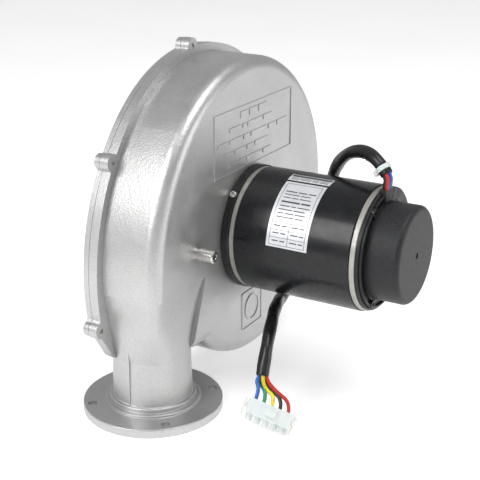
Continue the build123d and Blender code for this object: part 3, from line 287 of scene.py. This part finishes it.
def rubber(name, shade):
    paint = Paint(name, (shade, shade, shade * 1.04), roughness=0.6)
    paint.tint(paint.noise(180, 3), (shade * 1.5,) * 3)
    paint.rough(paint.noise(300, 2), 0.52, 0.7)
    return paint.bump(paint.noise(1100, 2), 0.00005, 0.6)


def natural_nylon():
    """Milky nylon that lets some light through."""
    paint = Paint(
        "natural_nylon", (0.97, 0.955, 0.92), roughness=0.32, transmission_weight=0.22, subsurface_weight=0.3
    )
    paint.tint(paint.noise(130, 3), (0.94, 0.92, 0.87))
    paint.rough(paint.noise(300, 2), 0.28, 0.42)
    return paint.bump(paint.noise(700, 2), 0.00005, 0.5)


def insulator():
    paint = Paint("slot_insulator", (0.72, 0.7, 0.62), roughness=0.5)
    paint.tint(paint.noise(150, 2), (0.64, 0.61, 0.52))
    return paint.bump(paint.noise(900, 2), 0.00004)


def circuit_board():
    paint = Paint("circuit_board", (0.008, 0.1, 0.035), roughness=0.32, coat_weight=0.4)
    paint.tint(paint.noise(500, 1), (0.02, 0.17, 0.06), 0.48, 0.52)
    return paint.bump(paint.noise(500, 1), 0.00004)


def board_part():
    paint = Paint("board_part", (0.02, 0.02, 0.022), roughness=0.45)
    paint.tint(paint.noise(300, 2), (0.035, 0.035, 0.037))
    return paint.bump(paint.noise(1500, 2), 0.00003)


def label_film():
    """Silvery polyester film, a little uneven where it was pressed on."""
    paint = Paint("label_film", (0.66, 0.67, 0.7), metallic=0.35, roughness=0.36)
    paint.tint(paint.noise(35, 3), (0.74, 0.75, 0.78))
    paint.rough(paint.noise(140, 2), 0.3, 0.44)
    return paint.bump(paint.noise(70, 2), 0.00008, 0.5)


def label_ink():
    paint = Paint("label_ink", (0.05, 0.05, 0.055), roughness=0.5)
    paint.tint(paint.noise(900, 2), (0.12, 0.12, 0.13), 0.5, 0.75)
    return paint.bump(paint.noise(1500, 2), 0.00001)


def sleeve_vinyl():
    """Soft black vinyl tubing: glossy, with faint lengthwise drawing marks."""
    paint = Paint("sleeve_vinyl", (0.005, 0.005, 0.0055), roughness=0.3, coat_weight=0.15, coat_roughness=0.2)
    paint.shader.inputs["Specular IOR Level"].default_value = 0.35
    paint.tint(paint.noise(120, 3), (0.014, 0.014, 0.016))
    paint.rough(paint.noise(160, 3), 0.24, 0.42)
    return paint.bump(paint.noise(260, 2), 0.00025, 0.4)


def insulation(name, color):
    paint = Paint("insulation_" + name, color, roughness=0.35, coat_weight=0.2)
    paint.tint(paint.noise(250, 3), tuple(c * 0.78 for c in color))
    paint.rough(paint.noise(300, 2), 0.3, 0.45)
    return paint.bump(paint.noise(700, 2), 0.00005, 0.5)


WIRE_COLORS = {
    "blue": (0.012, 0.12, 0.5),
    "green": (0.015, 0.26, 0.13),
    "yellow": (0.86, 0.7, 0.02),
    "black": (0.01, 0.01, 0.011),
    "red": (0.52, 0.025, 0.022),
}
paints = {
    "cast_alu": cast_aluminium(),
    "machined_alu": machined_aluminium(),
    "black_paint": black_paint(),
    "black_bracket": black_bracket(),
    "black_cap": black_cap(),
    "steel": plated_steel(),
    "lamination": laminations(),
    "magnet": magnet(),
    "copper": copper(),
    "contact_brass": contact_brass(),
    "gasket": rubber("gasket_rubber", 0.05),
    "seal_rubber": rubber("seal_rubber", 0.018),
    "nylon_white": natural_nylon(),
    "insulator": insulator(),
    "cage_steel": plated_steel(),
    "pcb": circuit_board(),
    "component": board_part(),
    "label": label_film(),
    "sleeve": sleeve_vinyl(),
}
for wire_color, rgb in WIRE_COLORS.items():
    paints["insul_" + wire_color] = insulation(wire_color, rgb)
ink = label_ink()

# every CAD node takes the material of its slot in the record
for subpart in frame["record"]["subparts"]:
    node = frame["nodes"][subpart["node"]]
    node.data.materials.clear()
    node.data.materials.append(paints[subpart["material_slot"]].material)
# the rear screws are blackened, and the rings between shell and brackets are dull
for paint, names in (
    (black_screw(), ("through_bolts", "motor_mount_screws")),
    (end_ring(), ("drive_end_ring", "rear_end_ring")),
):
    for name in names:
        frame["nodes"][name].data.materials[0] = paint.material


# ------------------------------------------------------------------ mesh helpers
def mesh_piece(name, vertices, faces, paint, slot_name, smooth=True):
    """Object from vertices and faces, with one material, riding on the housing."""
    mesh = bpy.data.meshes.new(name)
    mesh.from_pydata([tuple(v) for v in vertices], [], faces)
    mesh.update()
    if smooth:
        mesh.shade_smooth()
    mesh.materials.append(paint.material)
    piece = bpy.data.objects.new(name, mesh)
    bpy.context.collection.objects.link(piece)
    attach(piece, BODY)
    return piece


def nurbs_curve(name, points, radius):
    """Curve object of one open NURBS spline through the control points, with a round bevel."""
    data = bpy.data.curves.new(name, "CURVE")
    data.dimensions = "3D"
    data.resolution_u = 16
    spline = data.splines.new("NURBS")
    spline.points.add(len(points) - 1)
    for target, point in zip(spline.points, points):
        target.co = (*point, 1)
    spline.order_u = 3
    spline.use_endpoint_u = True
    data.bevel_depth = radius
    data.bevel_resolution = 6
    data.use_fill_caps = True
    piece = bpy.data.objects.new(name, data)
    bpy.context.collection.objects.link(piece)
    return piece


def spline_points(name, points):
    """Points along the NURBS spline of the control points."""
    bare = nurbs_curve(name, points, 0)
    bpy.context.view_layer.update()
    mesh = bpy.data.meshes.new_from_object(bare.evaluated_get(bpy.context.evaluated_depsgraph_get()))
    line = [v.co.copy() for v in mesh.vertices]
    bpy.data.objects.remove(bare)
    return line


# ------------------------------------------------------------------ supply cable
SLEEVE_ROUTE = [
    (97.5, -141.0, 176.5),
    (99.5, -134.0, 184.0),
    (106.0, -121.0, 189.0),
    (115.0, -104.0, 184.0),
    (129.0, -88.0, 170.0),
    (146.0, -75.0, 149.0),
    (155.0, -66.0, 122.0),
    (150.0, -59.0, 93.0),
    (131.0, -54.0, 70.0),
    (105.0, -54.0, 61.0),
    (78.0, -63.0, 65.0),
    (52.0, -73.0, 64.0),
    (28.0, -82.0, 56.0),
    (17.0, -84.5, 37.0),
]
SLEEVE_R = 4.75 * MM
SLEEVE_WALL = 0.7 * MM
WIRE_R = 1.4 * MM
RING = 32  # points around the sleeve
STEP = 0.6 * MM  # between its rings
OPEN_DEPTH = 7 * MM  # how far its ends are open
CREASE_PITCH = 5.2 * MM
TIE_START = 3.4 * MM
TIE_END = 6.8 * MM
TIE_MARGIN = 0.4 * MM
NIP = 0.94  # radius under the tie, over the sleeve's radius
CREASE_REACH = 0.03  # bend radius, in metres, at which the creases are full
CREASE_H = 0.62 * MM
WANDER_H = 3.0 * MM
EDGE = 0.15 * MM  # rounding of its cut ends
FADE_RINGS = 12  # rings over which the relief fades at each end

route = [Vector(p) * MM for p in SLEEVE_ROUTE]
line = spline_points("sleeve_line", route)


def resampled(points, step):
    """The same line with its points a step apart."""
    result = [points[0]]
    left = step
    for a, b in zip(points, points[1:]):
        run = (b - a).length
        place = left
        while place <= run:
            result.append(a.lerp(b, place / run))
            place += step
        left = place - run
    if (result[-1] - points[-1]).length < step / 2:
        result.pop()
    return result + [points[-1]]


line = resampled(line, STEP)


def frames_along(points):
    """Tangent and a square side direction at each point, turned as little as possible."""
    tangents = []
    for i in range(len(points)):
        tangents.append((points[min(i + 1, len(points) - 1)] - points[max(i - 1, 0)]).normalized())
    side = tangents[0].orthogonal().normalized()
    result = []
    for tangent in tangents:
        side = (side - tangent * side.dot(tangent)).normalized()
        result.append((tangent, side, tangent.cross(side)))
    return result


def bends(points, reach=6):
    """Vector from each point towards the centre of its bend, 1 / radius long."""
    result = []
    for i in range(len(points)):
        a, b = points[max(i - reach, 0)], points[min(i + reach, len(points) - 1)]
        if i < reach or i >= len(points) - reach:
            result.append(Vector((0, 0, 0)))
            continue
        half = (b - a).length / 2
        result.append(((a + b) / 2 - points[i]) * 2 / half**2)
    return result


def sleeve_mesh():
    """Soft tubing: creased inside its tight bends, nipped by the tie and open at both ends."""
    vertices, faces = [], []
    frames = frames_along(line)
    curls = bends(line)
    total = len(line)

    def ring_at(index, radius, relief):
        tangent, side, up = frames[index]
        curl = curls[index]
        place = (line[index] - line[0]).length if index < 20 else index * STEP
        nip = NIP if TIE_START - TIE_MARGIN < place < TIE_END + TIE_MARGIN else 1.0
        for k in range(RING):
            turn = 2 * pi * k / RING
            outward = side * cos(turn) + up * sin(turn)
            inner = max(0.0, outward.dot(curl)) * CREASE_REACH
            crease = min(inner, 1.2) ** 2 * sin(2 * pi * place / CREASE_PITCH + 1.7 * sin(place * 900))
            wander = 0.06 * sin(place * 210 + 2 * turn) + 0.04 * sin(place * 77 + 3 * turn)
            bulge = (CREASE_H * crease + WANDER_H * wander) * relief
            vertices.append(line[index] + outward * (radius * nip + bulge))

    depth = int(OPEN_DEPTH / STEP)
    inner_r = SLEEVE_R - SLEEVE_WALL
    ring_at(depth, inner_r, 0)
    ring_at(0, inner_r, 0)
    ring_at(0, SLEEVE_R - EDGE, 0)
    for index in range(1, total - 1):
        ring_at(index, SLEEVE_R, min(1.0, index / FADE_RINGS, (total - 1 - index) / FADE_RINGS))
    ring_at(total - 1, SLEEVE_R - EDGE, 0)
    ring_at(total - 1, inner_r, 0)
    ring_at(total - 1 - depth, inner_r, 0)
    rings = len(vertices) // RING
    for r in range(rings - 1):
        for k in range(RING):
            a, b = r * RING + k, r * RING + (k + 1) % RING
            faces.append((a, a + RING, b + RING, b))
    faces.append(tuple(range(RING)))
    faces.append(tuple(reversed(range((rings - 1) * RING, rings * RING))))
    return vertices, faces


sleeve = mesh_piece("supply_sleeve", *sleeve_mesh(), paints["sleeve"], "sleeve")
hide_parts("cable_sleeve")

# wires, from the grommet into the sleeve and from the sleeve into the connector
GROMMET_ANGLE = 88.0
GROMMET_R = 46.5 * MM
WIRE_ROWS = {  # x and y of each wire in the grommet, in mm
    "red": (-3.2, -142.7),
    "blue": (0.0, -142.7),
    "green": (3.2, -142.7),
    "black": (-1.6, -140.0),
    "yellow": (1.6, -140.0),
}
START_SEATS = {"red": 198, "blue": 270, "green": 342, "yellow": 54, "black": 126}
END_SEATS = {"blue": 162, "green": 234, "yellow": 90, "black": 306, "red": 18}
BUNDLE_R = 2.5 * MM
WAY_PITCH = 6.35 * MM
WIRE_DEPTH = 3.5 * MM
PLUG_ORIGIN = Vector((8.8, -97.1, 19.4)) * MM
PLUG_AXIS = Vector((-0.643, 0.071, -0.763)).normalized()
PLUG_LEAN = Vector((0.336, -0.875, -0.348))
# where each wire bows to on its way to the connector, in mm: onwards, along the row, and sideways
BOWS = {
    "blue": (5, -1.5, 1.0),
    "green": (5, 0.0, -1.5),
    "yellow": (8, 3.6, -3.0),
    "black": (7, 4.4, 1.0),
    "red": (7, 8.0, 0.5),
}

plug_row = (PLUG_LEAN - PLUG_AXIS * PLUG_LEAN.dot(PLUG_AXIS)).normalized()
plug_side = PLUG_AXIS.cross(plug_row)
start_dir = (route[1] - route[0]).normalized()
end_dir = (route[-1] - route[-2]).normalized()
up_x, up_z = polar(1, GROMMET_ANGLE)
grommet_up = Vector((up_x, 0, up_z))
grommet_face = Vector((axis_x, 0, axis_z)) + grommet_up * GROMMET_R


def seat(origin, direction, row, degrees):
    """Place on the bundle's circle in the plane square to direction, with row as its angle 0."""
    side = (row - direction * row.dot(direction)).normalized()
    across = direction.cross(side)
    return origin + (side * cos(radians(degrees)) + across * sin(radians(degrees))) * BUNDLE_R


for index, color in enumerate(WIRE_COLORS):
    along, depth = WIRE_ROWS[color]
    leave = grommet_face + Vector((along, depth, 0)) * MM - grommet_up * 2 * MM
    enter = seat(route[0], start_dir, Vector((1, 0, 0)), START_SEATS[color])
    first = [leave, leave + grommet_up * 6 * MM, enter - start_dir * 3 * MM, enter + start_dir * 4 * MM]
    emerge = seat(route[-1], end_dir, plug_row, END_SEATS[color])
    way = PLUG_ORIGIN + plug_row * (index - 2) * WAY_PITCH
    out, wide, near = BOWS[color]
    bow = emerge + end_dir * out * MM + plug_row * wide * MM + plug_side * near * MM
    second = [
        emerge - end_dir * 5 * MM,
        emerge + end_dir * 1.5 * MM,
        bow,
        way - PLUG_AXIS * 7 * MM,
        way + PLUG_AXIS * WIRE_DEPTH,
    ]
    for part, points in (("motor", first), ("plug", second)):
        wire = nurbs_curve(f"wire_{color}_{part}_end", points, WIRE_R)
        wire.data.materials.append(paints["insul_" + color].material)
        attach(wire, BODY)
        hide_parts("wire_" + color)


# ------------------------------------------------------------------ generic print on the labels
def curved_patches(name, radius, patches, paint, slot_name, thickness=0.04 * MM):
    """Thin closed patches on a cylinder around the motor axis: each is y, y, angle, angle."""
    vertices, faces = [], []
    for y_a, y_b, angle_a, angle_b in patches:
        steps = max(1, round(abs(angle_b - angle_a) / 2))
        base = len(vertices)
        for i in range(steps + 1):
            angle = angle_a + (angle_b - angle_a) * i / steps
            for r, y in ((radius, y_a), (radius, y_b), (radius + thickness, y_b), (radius + thickness, y_a)):
                vertices.append(around_motor(r, angle, y * MM))
        for i in range(steps):
            for k in range(4):
                a, b = base + 4 * i + k, base + 4 * i + (k + 1) % 4
                faces.append((a, b, b + 4, a + 4))
        faces.append(tuple(base + k for k in (3, 2, 1, 0)))
        faces.append(tuple(base + 4 * steps + k for k in range(4)))
    return mesh_piece(name, vertices, faces, paint, slot_name, smooth=False)


def outline(y_a, y_b, angle_a, angle_b, y_line=0.35, angle_line=0.4):
    """Four patches that frame a rectangle on the cylinder."""
    return [
        (y_a, y_a + y_line, angle_a, angle_b),
        (y_b - y_line, y_b, angle_a, angle_b),
        (y_a + y_line, y_b - y_line, angle_a, angle_a + angle_line),
        (y_a + y_line, y_b - y_line, angle_b - angle_line, angle_b),
    ]


label_r = motor_r + 0.15 * MM


def rating_print():
    """Frame, table lines and rows of plain dashes."""
    patches = outline(-99.8, -71.2, 110.5, 171.8)
    patches += [(-99.4, -71.6, 151.2, 151.6), (-86.2, -85.85, 151.6, 171.4), (-99.4, -71.6, 158.0, 158.35)]
    patches += [(-99.4, -71.6, 164.6, 164.95)]
    # dashes: one row each few degrees, with word-like lengths
    rows = [
        (120.0, 1.2, (9, 7, 6)),
        (123.5, 0.9, (12, 8)),
        (127.0, 0.9, (6, 5, 9)),
        (131.0, 1.6, (15, 7)),
        (135.5, 0.9, (8, 4, 10)),
        (139.0, 0.9, (11, 9)),
        (142.5, 0.9, (5, 7, 8)),
        (146.0, 0.9, (14, 6)),
    ]
    for angle, height, words in rows:
        y = -73.5
        for length in words:
            patches.append((y - length, y, angle, angle + height))
            y -= length + 1.1
    for angle in (153.8, 160.4, 167.2):
        for y, length in ((-73.5, 5), (-79.8, 4), (-87.6, 6), (-94.6, 3.5)):
            patches.append((y - length, y, angle, angle + 1.0))
    return patches


def strip_print():
    """Dark header bar and rows of small dashes."""
    patches = [(-101.6, -69.4, 95.0, 98.6)]
    for angle in (100.2, 102.4):
        y = -70.4
        for length in (6, 9, 5, 7):
            patches.append((y - length, y, angle, angle + 0.9))
            y -= length + 1.0
    return patches


curved_patches("rating_print", label_r, rating_print(), ink, "label")
curved_patches("strip_print", label_r, strip_print(), ink, "label")


# ------------------------------------------------------------------ camera
camera_data = bpy.data.cameras.new("camera")
camera_data.lens = 81.72
camera_data.sensor_width = 36
camera = bpy.data.objects.new("camera", camera_data)
bpy.context.collection.objects.link(camera)
camera.location = (-0.60315, -0.42188, 0.4030)
target = Vector((0.02719, -0.060, 0.13405))
camera.rotation_euler = (target - camera.location).to_track_quat("-Z", "Y").to_euler()
bpy.context.scene.camera = camera

# ------------------------------------------------------------------ floor, world and lights
floor_mesh = bpy.data.meshes.new("floor")
FLOOR = 6.0
floor_z = cad_box[0][2] - 0.0002
corners = [(x * FLOOR, y * FLOOR, floor_z) for x, y in ((-1, -1), (1, -1), (1, 1), (-1, 1))]
floor_mesh.from_pydata(corners, [], [(0, 1, 2, 3)])
floor = bpy.data.objects.new("floor", floor_mesh)
bpy.context.collection.objects.link(floor)
floor_paint = Paint("floor", (0.9, 0.9, 0.9), roughness=0.75)
floor_paint.tint(floor_paint.noise(3, 2), (0.93, 0.93, 0.93))
floor_paint.shader.inputs["Emission Color"].default_value = (1, 1, 1, 1)
floor_paint.shader.inputs["Emission Strength"].default_value = 0.42
floor_mesh.materials.append(floor_paint.material)

world = bpy.data.worlds.new("studio")
bpy.context.scene.world = world
world.use_nodes = True
background = world.node_tree.nodes["Background"]
background.inputs["Color"].default_value = (1, 1, 1, 1)
background.inputs["Strength"].default_value = 0.42
bpy.context.scene.view_settings.view_transform = "Standard"


def softbox(name, place, aim, width, height, power):
    """Large rectangular light at a place, pointed at another."""
    data = bpy.data.lights.new(name, "AREA")
    data.shape = "RECTANGLE"
    data.size = width
    data.size_y = height
    data.energy = power
    light = bpy.data.objects.new(name, data)
    bpy.context.collection.objects.link(light)
    light.location = place
    light.rotation_euler = (Vector(aim) - Vector(place)).to_track_quat("-Z", "Y").to_euler()
    return light


centre = (0.08, -0.04, 0.13)
# places and sizes in metres, powers in watts
softbox("key", (-1.1, 0.35, 1.0), centre, 0.7, 0.9, 13)
softbox("top", (0.1, -0.5, 1.5), centre, 1.0, 0.6, 9)
softbox("fill", (0.6, -1.5, 0.5), centre, 0.8, 0.8, 5)
